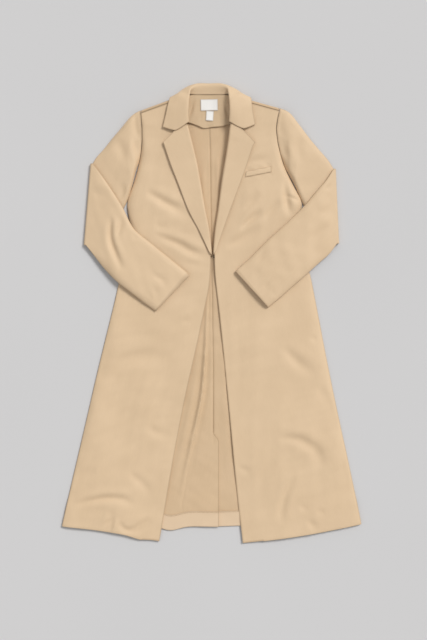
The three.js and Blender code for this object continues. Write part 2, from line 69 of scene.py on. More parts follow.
FRONT = table(
    ("level", "side_z", "mid_z", "edge_z", "roll", "left_side", "left_edge", "right_side", "right_edge"),
    ("hem", 6, 10.4, 8.8, 0, (-403, -573), (-141, -614), (403, -567), (84, -619)),
    ("hem top", 6, 10.2, 8.6, 0, (-393, -528), (-133, -568), (394, -522), (79, -574)),
    ("shin", 2.4, 8.6, 7.6, 0, (-382, -479), (-125, -520), (384, -474), (73, -522)),
    ("knee", 2.4, 9, 7.6, 0, (-360, -385), (-108, -420), (365, -385), (63, -425)),
    ("above knee", 2.4, 9.4, 7.6, 0, (-335, -278), (-88, -312), (342, -280), (53, -318)),
    ("thigh", 2.4, 9.4, 7.6, 0, (-309, -165), (-66, -202), (318, -165), (42, -205)),
    ("upper thigh", 2.4, 9, 7.6, 0, (-283, -58), (-41, -92), (297, -58), (31, -92)),
    ("hip", 2.4, 8.8, 7.6, 0, (-260, 36), (-19, 12), (279, 36), (20, 12)),
    ("high hip", 2.4, 8.8, 7.8, 0, (-247, 95), (-6, 80), (266, 100), (12, 80)),
    ("closing", 2.4, 9, 8, 1.6, (-231, 160), (0.4, 159), (247, 160), (4.4, 160)),
    ("waist", 2.4, 10, 9, 2.6, (-219, 225), (-5, 217), (231, 215), (8, 217)),
    ("ribs", 2.4, 11.5, 10, 3.2, (-227, 290), (-17, 280), (243, 290), (17, 280)),
    ("bust", 2.4, 13, 12, 3.2, (-207, 360), (-29, 350), (220, 345), (26, 350)),
    ("underarm", 3, 15, 14, 3.2, (-194, 408), (-38, 400), (196, 394), (34, 400)),
    ("low armhole", 9, 17, 15.5, 3.2, (-189, 434), (-45, 430), (184, 430), (39, 430)),
    ("mid armhole", 15, 19, 17.5, 3.2, (-186, 465), (-53, 462), (176, 465), (44, 464)),
    ("gorge", 18, 20, 19, 2.6, (-186, 496), (-64, 506), (173, 496), (50, 508)),
    ("high armhole", 19.5, 21, 20.5, 0, (-188, 519), (-74, 540), (176, 521), (60, 540)),
    ("shoulder", 20.5, 21.5, 21.5, 0, (-189, 537), (-80, 577), (181, 543), (68, 574)),
)
LAPEL = table(
    ("level", "left", "right", "notch"),
    ("closing", (-7, 166), (12, 170), 0),
    ("waist", (-31, 218), (29, 218), 0),
    ("ribs", (-62, 277), (51, 280), 0),
    ("bust", (-91, 352), (78, 352), 0),
    ("underarm", (-109, 398), (95, 400), 0),
    ("low armhole", (-118, 424), (104, 428), 0),
    ("mid armhole", (-125, 445), (111, 449), 0),
    ("gorge", (-130, 459), (117, 458), 6),
)
BACK = table(
    ("level", "neck_share", "left_side", "right_side", "centre_y", "overlap", "raised"),
    ("hem", 0.5, (-402, -566), (402, -562), -574, 15, 3.6),
    ("hem top", 0.5, (-393, -523), (394, -517), -530, 15, 3.6),
    ("shin", 0.5, (-382, -476), (384, -471), -480, 15, 1.7),
    ("vent top", 0.5, (-350, -345), (357, -345), -345, 15, 1.7),
    ("above vent", 0.5, (-345, -320), (351, -320), -320, 0, 1.7),
    ("thigh", 0.5, (-309, -165), (318, -165), -165, 0, 0),
    ("hip", 0.5, (-260, 36), (279, 36), 36, 0, 0),
    ("closing", 0.5, (-231, 160), (247, 160), 160, 0, 0),
    ("waist", 0.5, (-219, 225), (231, 215), 220, 0, 0),
    ("ribs", 0.5, (-227, 290), (243, 290), 290, 0, 0),
    ("bust", 0.5, (-207, 360), (221, 345), 360, 0, 0),
    ("underarm", 0.55, (-194, 408), (196, 394), 420, 0, 0),
    ("low armhole", 0.56, (-189, 434), (184, 430), 448, 0, 0),
    ("mid armhole", 0.57, (-186, 465), (176, 465), 480, 0, 0),
    ("high armhole", 0.57, (-186, 496), (173, 496), 508, 0, 0),
)
SHOULDER_TURN = table(
    ("beyond", "side_z", "neck_z", "turn_z", "centre_z", "centre_y"),
    (-26, 0.6, 0.6, 0.6, 0.6, 532),
    (-14, 0.6, 4.8, 4.8, 4.6, 560),
    (5, 4, 7, 6, 4.9, 568),
    (8.6, 11, 13, 7.5, 5.2, 576),
    (6, 18, 19, 9.5, 5.4, 582),
    (1, 20.6, 21.6, 12, 5.6, 587),
)
NECK_POINT = {"left": (-80, 577), "right": (68, 574)}
NECK_TURN = {"left": (-62, 587), "right": (48, 587)}
CENTRE_BACK = {"top": -6, "bottom": 4.5, "level_y": -130, "neck_y": 587}
SHOULDER_EDGE = ((4, 19), (9, 11.5))
VENT_SHARE = 0.9
TURN_FOLLOWS = 0.9

UPPER_ARM = table(
    ("level", "outer_z", "loft", "a_z", "b_z", "left_a", "left_b", "right_a", "right_b"),
    ("armhole", BACK_Z, 17, 10, BACK_Z, (-191, 545), (-194, 408), (183, 551), (196, 394)),
    ("cap", BACK_Z, 21, 9, BACK_Z, (-214, 531), (-204, 385), (207, 540), (210, 371)),
    ("upper arm", BACK_Z, 17, 5, BACK_Z, (-243, 499), (-213, 350), (236, 507), (223.5, 346)),
    ("middle arm", BACK_Z, 13, 2, BACK_Z, (-266, 473), (-228, 303), (264, 471), (239, 312)),
    ("above elbow", BACK_Z, 9, BACK_Z, BACK_Z, (-290, 443), (-254, 257), (292, 438), (262, 268)),
    ("elbow", BACK_Z, 5.5, BACK_Z, BACK_Z, (-312, 418), (-300, 215), (315, 411), (303, 225)),
)
ELBOW = {
    "left_a": (-326, 403), "left_b": (-344, 184),
    "right_a": (334, 389), "right_b": (343, 188),
    "loft": 3.8,
}
FOREARM = table(
    ("level", "outer_z", "loft", "a_z", "b_z", "left_a", "left_b", "right_a", "right_b"),
    ("elbow", 15.5, 5, 13, 11, (-303, 380), (-318, 158), (310, 360), (316, 160)),
    ("below elbow", 20, 6, 15.5, 11, (-272, 336), (-290, 122), (282, 327), (288, 135)),
    ("forearm", 23, 8.5, 16.5, 14, (-240, 285), (-255, 86), (249, 288), (257, 107)),
    ("low forearm", 23, 8.8, 16.5, 15.5, (-210, 228), (-222, 60), (205, 245), (222, 77)),
    ("above wrist", 22, 8.5, 15.5, 15, (-163, 188), (-195, 39), (150, 195), (190, 48)),
    ("wrist", 21.5, 8.5, 15, 14.5, (-110, 145), (-170, 20), (98, 143), (166, 28)),
    ("cuff", 21, 8.5, 14.5, 14, (-59, 103), (-150, 6), (64, 113), (152, 16)),
)
ARMHOLE_EASE = {"armhole": 1, "cap": 0.35, "upper arm": 0}  # how far the sleeve follows its seam

COLLAR = table(
    ("seam", "roll", "turn", "edge"),
    ((-65, 510.5, 23.4), (-63, 512, 27.5), (-98, 490, 26.4), (-131, 499, 24.6)),
    ((-69, 528, 23.6), (-65, 530, 31), (-96, 530, 29.5), (-123, 530, 25.2)),
    ((-73, 550, 24), (-64, 552, 33.5), (-92, 558, 30), (-117, 557, 26)),
    ((-77, 570, 24.4), (-62.5, 572, 32.5), (-88, 585, 27), (-110, 578, 19.5)),
    ((-76, 583, 23.5), (-60, 590, 29), (-84, 595, 14), (-99, 579, FALL_Z)),
    ((-63, 589.5, 14.6), (-54, 605, 20.5), (-67.5, 606.5, 8), (-71, 566, FALL_Z)),
    ((-42, 589.5, 9.5), (-37, 613, 14), (-40, 616, 6), (-42, 563, FALL_Z)),
    ((-7, 589.5, 7.4), (-7, 614, 11.5), (-7, 616.5, 6), (-7, 562, FALL_Z)),
    ((28, 589.5, 9.5), (24, 613, 14), (28, 616, 6), (30, 563, FALL_Z)),
    ((49, 589.5, 14.6), (42, 605, 20.5), (57, 605, 8), (60, 565, FALL_Z)),
    ((64, 580.5, 23.5), (47, 590, 29), (75, 594, 14), (88, 577.5, FALL_Z)),
    ((64, 568, 24.4), (49, 570, 32.5), (79, 585, 26.5), (104, 577.5, 19)),
    ((59, 550, 24), (50, 552, 33.5), (80, 560, 30), (108, 558, 26)),
    ((54, 529, 23.6), (50, 531, 31), (83, 532, 29.5), (112, 531, 25.2)),
    ((51, 512, 23.4), (48.5, 513.5, 27.5), (87, 495, 26.4), (117, 506, 24.6)),
)
NECK_FACING = table(
    ("top", "bottom"),
    ((-77, 571, 18), (-84, 512, 6.5)),
    ((-60, 583, 15), (-63, 514, 6.6)),
    ((-42, 585.5, 12), (-40, 507, 5)),
    ((-20, 585.5, 9.4), (-20, 499, 5.6)),
    ((2, 585.5, 9), (2, 502, 4.6)),
    ((28, 585.5, 12), (26, 504, 6)),
    ((46, 583, 15), (48, 509, 6.4)),
    ((64, 568, 18), (72, 508, 6.5)),
)
NECK_FACING_SAG = 1.2
NECK_REACH = 2.6
LABEL = {"width": 46, "height": 30, "bulge": 0.5, "x": -6.5, "y": 561, "turn": 0.02}
TAB = {"width": 20, "height": 26, "bulge": 0.8, "x": -5, "y": 532, "turn": -0.06}
TAPE_WALL = 0.9
LABEL_LIFT = 1.9
WELT = {"bottom": ((161, 380), (90, 366)), "top": ((160, 395), (93, 381)), "lift": 2.1}
WELT_EDGE = {"drop": 0.5, "rounded": 0.2}
WELT_SITE = {"x": 125, "y": 380, "half_width": 60, "half_height": 40}
NECK_WAVES = table(("height", "stretch", "phase"), (0.9, 9.5, 0), (0.7, 5.3, 1))
HEM_BOW = {"left": 4.5, "right": -5.0}
HEM_BOW_REACH = 150
HEM_WAVE = {"height": 5, "share": 0.8, "width": 0.1}
HEM_DIP = {"depth": 12, "x": -112, "width": 34, "below": -500, "over": 70}
EDGE_PRESSED = 2.4  # how much flatter than the part's own the front edges lie, below the closing
BACK_EASE = 1.6
SEAM_GROOVE = {"depth": 1.6, "width": 2.4}
VENT_TOP = -330
BACK_COLUMNS = (30, 60, 12)


def creases(*rows):
    return table(("path", "width", "depth"), *rows)


# Creases listed one by one: path, how wide, and depth (below zero a trough, above zero a ridge).
CREASES = {
    "front_left": creases(
        (((-178, 330), (-126, 299), (-66, 268)), 10, -3.2),
        (((-156, 212), (-97, 190), (-47, 164), (-6, 151)), 9, -3.6),
        (((-78, 138), (-40, 131), (-10, 134)), 9, -1.2),
        (((-152, 240), (-137, 232), (-118, 238)), 9, -1.0),
        (((-82, -26), (-69, -20), (-54, -20)), 8, -0.8),
        (((-272, -176), (-227, -127), (-182, -113), (-108, -117)), 16, -2.3),
        (((-174, -304), (-148, -321), (-110, -324)), 10, -1.3),
        (((-372, -452), (-345, -432), (-312, -418)), 12, -1.5),
        (((-224, -428), (-187, -459), (-162, -491)), 10, -1.3),
        (((-374, -517), (-322, -504), (-278, -498), (-238, -501), (-208, -518)), 8, -3.0),
        (((-286, -549), (-270, -541), (-258, -545)), 8, -0.9),
        (((-268, -592), (-260, -570), (-253, -550)), 5, 1.5),
        (((-250, -558), (-236, -580), (-214, -584), (-190, -571), (-172, -554)), 7, -2.4),
        (((-292, -574), (-277, -561), (-262, -551)), 6, -1.6),
        (((-200, -590), (-186, -574), (-163, -557)), 9, -1.5),
    ),
    "front_right": creases(
        (((78, 226), (105, 252), (136, 277)), 8, -3.2),
        (((88, 277), (108, 302), (128, 329)), 9, -1.6),
        (((142, 250), (162, 277), (186, 302)), 9, -1.7),
        (((38, 178), (88, 204), (134, 236)), 12, -2.8),
        (((203, 338), (206, 288), (222, 256)), 9, -1.6),
        (((198, 320), (217, 311), (238, 301)), 4, -0.9),
        (((200, 366), (199, 319), (209, 262)), 8, -1.7),
        (((96, 405), (130, 411), (163, 414)), 9, -1.2),
        (((190, -88), (234, -133), (284, -167)), 14, -2.0),
        (((286, -194), (305, -226), (320, -260)), 14, -1.1),
        (((174, -334), (234, -341), (279, -369), (298, -418)), 12, -2.6),
        (((68, -416), (87, -421), (108, -429)), 8, -0.9),
        (((226, -438), (200, -487), (189, -532), (189, -570)), 9, -2.3),
        (((168, -388), (140, -440), (110, -497)), 14, -1.0),
        (((238, -516), (248, -523), (258, -520)), 8, -0.9),
        (((282, -528), (292, -534), (304, -530)), 8, -0.9),
        (((258, -556), (272, -570), (288, -580)), 9, -1.3),
        (((268, -60), (275, -67), (284, -66)), 8, -0.9),
    ),
    "under_sleeve_left": creases(
        (((-268, 260), (-272, 204), (-258, 159), (-238, 114)), 7, -4.0),
        (((-254, 204), (-246, 230), (-240, 258)), 7, -2.2),
        (((-158, 102), (-140, 94), (-122, 85)), 8, -1.2),
        (((-214, 213), (-206, 206), (-199, 197)), 8, -1.2),
        (((-330, 330), (-300, 318), (-272, 322)), 12, -1.2),
    ),
    "under_sleeve_right": creases(
        (((118, 131), (134, 153), (147, 175)), 8, -1.2),
        (((330, 290), (300, 270), (270, 268)), 13, -1.4),
        (((324, 352), (316, 340), (304, 334)), 6, -1.5),
        (((318, 236), (286, 214), (262, 176)), 12, -1.2),
    ),
    "top_sleeve_left": creases(
        (((-236, 350), (-240, 325), (-246, 300)), 9, -1.7),
        (((-206, 538), (-203, 496), (-197, 466)), 7, -1.8),
        (((-211, 480), (-203, 432), (-197, 414)), 7, -1.6),
        (((-252, 470), (-240, 440), (-236, 404)), 13, -1.3),
    ),
    "top_sleeve_right": creases(
        (((188, 540), (183, 510), (186, 470)), 7, -1.8),
        (((196, 470), (196, 440), (204, 410)), 7, -1.6),
        (((240, 470), (232, 440), (236, 400)), 13, -1.3),
    ),
    "back_left": creases(
        (((-10, 60), (-15, -60), (-20, -144), (-29, -234), (-53, -345), (-71, -428), (-84, -500)), 5.0, 3.0),
        (((-40, -140), (-58, -250), (-88, -390), (-116, -500)), 8, 1.1),
        (((-20, 420), (-22, 330), (-12, 220)), 8, 0.8),
    ),
    "back_right": creases(
        (((24, -60), (34, -220), (46, -400), (60, -520)), 12, 0.8),
        (((14, 430), (16, 330), (10, 230)), 6, 0.9),
    ),
    "back_neck_facing": creases(
        (((-45, 580), (-55, 550), (-63, 518)), 5, -2.6),
        (((32, 572), (40, 548), (47, 518)), 5, -2.6),
        (((-26, 540), (-30, 520), (-31, 502)), 4, -0.8),
        (((20, 545), (23, 525), (22, 505)), 4, -0.8),
    ),
}

# Lines pressed or sewn into a panel: dart, pocket mouth, fold of the back, cuff hems.
PRESSED = {
    "front_right": creases(
        (((192, 317), (214, 311), (234, 305)), 2.2, -1.5),
        (((91, 383), (162, 397.5)), 2.6, -2.2),
        (((87, 363.5), (163, 377.5)), 2.2, -1.0),
    ),
    "back_left": creases(
        (((-6, 60), (-11, -60), (-15, -144), (-23, -234), (-47, -345), (-65, -428), (-84, -535)), 2.6, -1.9),
    ),
    "under_sleeve_left": creases((((-86, 129), (-176, 33)), 2.4, -1.6)),
    "under_sleeve_right": creases((((91, 137), (178, 41)), 2.4, -1.2)),
}
CREASE_SCALE = 1.85
BANKS = table(("off", "width", "share"), (1.9, 1.4, 0.38), (-2.1, 1.5, 0.22))  # in widths of the crease
SLOW_LENGTHS = (310, 230, 170, 130, 95, 70)
RUMPLE_LENGTHS = (58, 46, 37, 30, 25)
RUMPLE_HEIGHT = 0.32
ROOM_SHARE = 0.75  # how much of the room under a front its troughs may take


# ---------------------------------------------------------------- curves and grids


def eased_curve(knots, values, at):
    """A smooth curve through the values, with no overshoot between them."""
    knots = np.asarray(knots, float)
    values = np.asarray(values, float).reshape(len(knots), -1)
    width = np.diff(knots)[:, None]
    slope = np.diff(values, axis=0) / width
    tangent = np.zeros_like(values)
    before, after = slope[:-1], slope[1:]
    total = np.where(np.abs(before + after) < 1e-9, 1, before + after)
    tangent[1:-1] = np.where(before * after > 0, 2 * before * after / total, 0)
    tangent[0], tangent[-1] = slope[0], slope[-1]
    k = np.clip(np.searchsorted(knots, at, side="right") - 1, 0, len(width) - 1)
    t = ((at - knots[k]) / width[k, 0])[:, None]
    step = width[k]
    return (
        (2 * t**3 - 3 * t**2 + 1) * values[k]
        + (t**3 - 2 * t**2 + t) * step * tangent[k]
        + (3 * t**2 - 2 * t**3) * values[k + 1]
        + (t**3 - t**2) * step * tangent[k + 1]
    )


def round_curve(points, at):
    """A centripetal curve through points (first axis), at places counted in points."""
    points = np.asarray(points, float)
    first = 2 * points[0] - points[1]
    last = 2 * points[-1] - points[-2]
    padded = np.concatenate([first[None], points, last[None]])
    k = np.clip(np.floor(at).astype(int), 0, len(points) - 2)
    t = (at - k).reshape((-1,) + (1,) * (points.ndim - 1))
    p0, p1, p2, p3 = (padded[k + i] for i in range(4))
    d0, d1, d2 = (
        np.maximum(np.sqrt(np.linalg.norm(b - a, axis=-1, keepdims=True)), 1e-4)
        for a, b in ((p0, p1), (p1, p2), (p2, p3))
    )
    m1 = ((p1 - p0) / d0 - (p2 - p0) / (d0 + d1) + (p2 - p1) / d1) * d1
    m2 = ((p2 - p1) / d1 - (p3 - p1) / (d1 + d2) + (p3 - p2) / d2) * d1
    return (
        (2 * t**3 - 3 * t**2 + 1) * p1
        + (t**3 - 2 * t**2 + t) * m1
        + (3 * t**2 - 2 * t**3) * p2
        + (t**3 - t**2) * m2
    )


def column_curve(rows, name, at):
    return round_curve([row[name] for row in rows], at)


class Stations:
    """Smooth rows between a table's rows, a few millimetres apart."""

    def __init__(self, rows, along, step=ROW_STEP):
        places = np.array([row[along] for row in rows], float)
        gaps = np.linalg.norm(np.diff(places, axis=0), axis=1)
        self.rows = rows
        self.knots = np.concatenate([[0], np.cumsum(gaps)])
        at, self.index = [0.0], [0]
        for start, gap in zip(self.knots, gaps):
            count = max(1, round(gap / step))
            at += [start + gap * (i + 1) / count for i in range(count)]
            self.index.append(len(at) - 1)
        self.at = np.array(at)

    def get(self, name):
        found = eased_curve(self.knots, [row[name] for row in self.rows], self.at)
        return found[:, 0] if found.shape[1] == 1 else found

    def of(self, values):
        return eased_curve(self.knots, values, self.at)[:, 0]

    def row_of(self, level):
        return self.index[[row["level"] for row in self.rows].index(level)]


def rounded(share, width=ROUNDED):
    left = 1 - np.minimum(np.asarray(share, float) / width, 1)
    return np.sqrt(1 - left * left)


def eased(share):
    s = np.clip(share, 0, 1)
    return s * s * (3 - 2 * s)


def mix(a, b, share):
    return a + (b - a) * share


def edge_shares(count, both=False):
    """Shares across a panel, close together where its edge is rounded."""
    edge = ROUNDED * (1 - np.cos(np.linspace(0, math.pi / 2, EDGE_POINTS)))
    if both:
        middle = np.linspace(ROUNDED, 1 - ROUNDED, count)
        return np.concatenate([edge[:-1], middle, 1 - edge[-2::-1]])
    return np.concatenate([edge[:-1], np.linspace(ROUNDED, 1, count)])


def all_cells(points):
    return np.ones((points.shape[0] - 1, points.shape[1] - 1), bool)


def normals(points, cells):
    across = points[1:, 1:] - points[:-1, :-1]
    back = points[1:, :-1] - points[:-1, 1:]
    face = np.cross(across, back)
    face /= np.maximum(np.linalg.norm(face, axis=2, keepdims=True), 1e-9)
    face *= cells[..., None]
    found = np.zeros_like(points)
    for rows in (slice(None, -1), slice(1, None)):
        for columns in (slice(None, -1), slice(1, None)):
            found[rows, columns] += face
    return found / np.maximum(np.linalg.norm(found, axis=2, keepdims=True), 1e-9)


def moved(points, cells, distance):
    return points + normals(points, cells) * distance


# ---------------------------------------------------------------- creases


def beside(x, y, path):
    """Share along a path and signed distance from it, for every point."""
    path = round_curve(np.array(path, float), np.linspace(0, len(path) - 1, 4 * len(path)))
    steps = np.diff(path, axis=0)
    lengths = np.linalg.norm(steps, axis=1)
    start = np.concatenate([[0], np.cumsum(lengths)])
    best = np.full(x.shape, np.inf)
    along = np.zeros(x.shape)
    signed = np.zeros(x.shape)
    for place, step, length, before in zip(path, steps, lengths, start):
        t = np.clip(((x - place[0]) * step[0] + (y - place[1]) * step[1]) / length**2, 0, 1)
        dx, dy = x - place[0] - t * step[0], y - place[1] - t * step[1]
        distance = np.hypot(dx, dy)
        nearer = distance < best
        best = np.where(nearer, distance, best)
        along = np.where(nearer, (before + t * length) / start[-1], along)
        signed = np.where(nearer, np.sign(step[0] * dy - step[1] * dx) * distance, signed)
    return along, signed


def crease_height(x, y, rows):
    """Soft troughs and ridges, each with a lower bank on either side."""
    height = np.zeros(x.shape)
    for row in rows:
        along, off = beside(x, y, row["path"])
        fade = np.maximum(np.sin(math.pi * along), 0)
        width = row["width"] * (0.75 + 0.5 * along)
        profile = np.exp(-((off / width) ** 2))
        for bank in BANKS:
            profile -= bank["share"] * np.exp(-(((off / width - bank["off"]) / bank["width"]) ** 2))
        height += row["depth"] * fade * profile
    return height


def pressed_height(x, y, rows):
    height = np.zeros(x.shape)
    for row in rows:
        along, off = beside(x, y, row["path"])
        ends = eased(along / 0.04) * eased((1 - along) / 0.04)
        height += row["depth"] * ends * np.exp(-((off / row["width"]) ** 2))
    return height


def relief(name, x, y, seed, unevenness=0.8):
    """All that lifts or sinks a layer: creases, pressed lines, unevenness and small wrinkles."""
    lift = CREASE_SCALE * crease_height(x, y, CREASES[name]) + pressed_height(x, y, PRESSED.get(name, []))
    return lift + undulation(x, y, seed, unevenness) + rumple(x, y, seed + 200)


def undulation(x, y, seed, height=0.55):
    """Slow unevenness of cloth that was smoothed out by hand."""
    draw = np.random.default_rng(seed)
    total = np.zeros(x.shape)
    for wavelength in SLOW_LENGTHS:
        angle, phase = draw.uniform(0, math.pi), draw.uniform(0, 2 * math.pi)
        wave = (x * math.cos(angle) + y * math.sin(angle)) * 2 * math.pi / wavelength
        total += np.sin(wave + phase + 0.8 * np.sin(y / 160 + phase)) * (wavelength / SLOW_LENGTHS[0]) ** 0.8
    return height * total


def rumple(x, y, seed):
    """Small wrinkles that come and go in patches over the cloth."""
    draw = np.random.default_rng(seed)
    total = np.zeros(x.shape)
    for wavelength in RUMPLE_LENGTHS:
        angle = draw.uniform(0, math.pi)
        phase = draw.uniform(0, 2 * math.pi)
        drift = draw.uniform(0, 2 * math.pi)
        turn = 2 * math.pi / wavelength
        wander = 1.1 * np.sin(x / 47 + drift) + 1.1 * np.sin(y / 61 + phase)
        wave = np.sin((x * math.cos(angle) + y * math.sin(angle)) * turn + phase + wander)
        patch = eased(0.5 + 0.7 * np.sin(x / 71 + 2 * phase) * np.sin(y / 93 + 2 * drift))
        total += wave * patch * wavelength / RUMPLE_LENGTHS[0]
    return RUMPLE_HEIGHT * total


def kept_above(lift, room):
    """A lift whose troughs never use up the room below them."""
    room = np.maximum(room, 0.1)
    return np.where(lift < 0, room * np.tanh(lift / room), lift)


def add_creases(points, name, seed, shares, side_z):
    """Raises a layer by its creases, fading out at its sewn side edge."""
    fade = eased(shares / 0.06)[None, :]
    x, y = points[..., 0], points[..., 1]
    room = ROOM_SHARE * (points[..., 2] - side_z)
    points[..., 2] += fade * kept_above(relief(name, x, y, seed), room)


# ---------------------------------------------------------------- panels


def front_height(side_z, mid_z, edge_z, share):
    from_side = mix(side_z, mid_z, rounded(share))
    return from_side + (edge_z - mid_z) * eased((share - 0.5) * 2)


def roll_reach(row):
    return row["roll"] + LAYER + WALL / 2 if row["roll"] else 0


BODY_SHARES = edge_shares(66)
FACING_COLUMN = int(np.argmin(np.abs(BODY_SHARES - FACING_FROM)))
GORGE_REACH = 25
GORGE_RISE = 3.2
ROLL_TURNS = np.linspace(0, math.pi, 13)[1:]
LAPEL_SHARES = np.linspace(0, 1, 27)[1:]
HEM_DEPTHS = (HEM_DEPTH, HEM_DEPTH - 2, 30, 20, 10, 3, 0)
HEM_TURNS = (45, 90, 135)
HEM_ROWS = len(HEM_DEPTHS) + len(HEM_TURNS)
HEM_PANEL_ROWS = 12  # rows of the panel that a turned hem lies along


def turned_hem(points, rise):
    """Rows that fold a hem back on itself and follow the panel, before the hem's own row."""
    up = (points[1] - points[0]) * (1, 1, 0)
    up /= np.linalg.norm(up, axis=1, keepdims=True)
    panel = points[:HEM_PANEL_ROWS]
    reach = np.linalg.norm((panel - panel[0])[..., :2], axis=2)
    rows = []
    for depth in HEM_DEPTHS:
        row = points[0] + up * depth
        heights = [np.interp(depth, reach[:, k], panel[:, k, 2]) for k in range(len(row))]
        row[:, 2] = np.array(heights) + rise * 2 * HEM_FOLD
        rows.append(row)
    for turn in HEM_TURNS:
        angle = math.radians(turn)
        row = points[0].copy()
        row[:, 1] -= HEM_FOLD * math.sin(angle)
        row[:, 2] += rise * HEM_FOLD * (1 + math.cos(angle))
        rows.append(row)
    return np.array(rows)


def front_surface(side):
    """A front with its under-lapel, as one grid, and the cells that its cloth fills."""
    at = Stations(FRONT, f"{side}_edge")
    seam, edge = at.get(f"{side}_side"), at.get(f"{side}_edge")
    side_z, mid_z, edge_z, roll = (at.get(name)[:, None] for name in ("side_z", "mid_z", "edge_z", "roll"))
    edge_z = edge_z - EDGE_PRESSED * (1 - eased(at.at / at.at[at.row_of("closing")]))[:, None]
    to_edge = edge - seam
    width = np.linalg.norm(to_edge, axis=1, keepdims=True)
    to_edge /= width
    width -= at.of([roll_reach(row) for row in FRONT])[:, None]
    share = BODY_SHARES[None, :]
    body = np.zeros((len(at.at), len(BODY_SHARES), 3))
    body[..., :2] = seam[:, None] + to_edge[:, None] * (width * share)[..., None]
    body[..., 2] = front_height(side_z, mid_z, edge_z, share)
    reach = 1 - eased(at.at / HEM_BOW_REACH)
    bow = HEM_BOW[side] * np.sin(math.pi * share)
    if side == "left":
        bow = bow - HEM_WAVE["height"] * np.exp(-(((share - HEM_WAVE["share"]) / HEM_WAVE["width"]) ** 2))
    body[..., 1] += bow * reach[:, None]
    add_creases(body, f"front_{side}", 11 if side == "left" else 12, BODY_SHARES, side_z)
    first, last = at.row_of("closing"), at.row_of("gorge")
    rows = np.arange(first, last + 1)
    knots = [at.at[at.row_of(row["level"])] for row in LAPEL]
    tip = eased_curve(knots, [row[side] for row in LAPEL], at.at[rows])
    notch = eased_curve(knots, [row["notch"] for row in LAPEL], at.at[rows])
    extra = np.repeat(body[:, -1:], len(ROLL_TURNS) + len(LAPEL_SHARES), axis=1)
    start = body[rows, -1]
    round_by = roll[rows]
    turn = ROLL_TURNS[None, :]
    curl = np.repeat(start[:, None], len(ROLL_TURNS), axis=1)
    curl[..., :2] += to_edge[rows][:, None] * (round_by * np.sin(turn))[..., None]
    curl[..., 2] += round_by * (1 - np.cos(turn))
    away = tip - start[:, :2]
    across = LAPEL_SHARES[None, :]
    leaf = np.repeat(start[:, None], len(LAPEL_SHARES), axis=1)
    leaf[..., :2] += away[:, None] * across[..., None]
    leaf[..., 1] += notch * (1 - np.abs(across - 0.5) * 2)
    near_gorge = eased((at.at[rows] - at.at[last] + GORGE_REACH) / GORGE_REACH)[:, None]
    leaf[..., 1] += GORGE_RISE * near_gorge * (1 - across)
    under = 1 - across * np.linalg.norm(away, axis=1, keepdims=True) / width[rows]
    below = front_height(side_z[rows], mid_z[rows], edge_z[rows], under)
    leaf[..., 2] = below + mix(2 * round_by, np.maximum(LAPEL_LIFT, ROLL_KEPT * 2 * round_by), across)
    leaf[..., 2] += (start[:, 2:] - edge_z[rows]) * (1 - across)
    leaf[..., 2] += 0.5 * undulation(leaf[..., 0], leaf[..., 1], 31) * np.sin(math.pi * across)
    extra[rows] = np.concatenate([curl, leaf], axis=1)
    points = np.concatenate([body, extra], axis=1)
    hem = turned_hem(points, -1)
    points = np.concatenate([hem, points])
    body_cells = len(BODY_SHARES) - 1
    cells = all_cells(points)
    cells[:, body_cells:] = False
    cells[len(hem) + first : len(hem) + last, body_cells:] = True
    front_cells = cells.copy()
    front_cells[: len(hem), FACING_COLUMN - 1 :] = False
    facing_cells = cells.copy()
    facing_cells[:, :FACING_COLUMN] = False
    facing_cells[: len(hem)] = False
    facing_cells[len(hem) + last :] = False
    return points, front_cells, facing_cells


def centre_seam(y):
    low, top = CENTRE_BACK["level_y"], CENTRE_BACK["neck_y"]
    share = np.clip((y - low) / (top - low), 0, 1)
    return mix(CENTRE_BACK["bottom"], CENTRE_BACK["top"], share)


def armhole_line(side):
    rows = [row for row in FRONT if row[f"{side}_side"][1] > ARMHOLE_FROM]
    line = [(*row[f"{side}_side"], row["side_z"]) for row in rows]
    x, top = line[-1][:2]
    return np.array(line + [(x, top + beyond, z) for beyond, z in SHOULDER_EDGE], float)


def armhole_at(side, y):
    line = armhole_line(side)
    return np.interp(y, line[:, 1], line[:, 0]), np.interp(y, line[:, 1], line[:, 2])


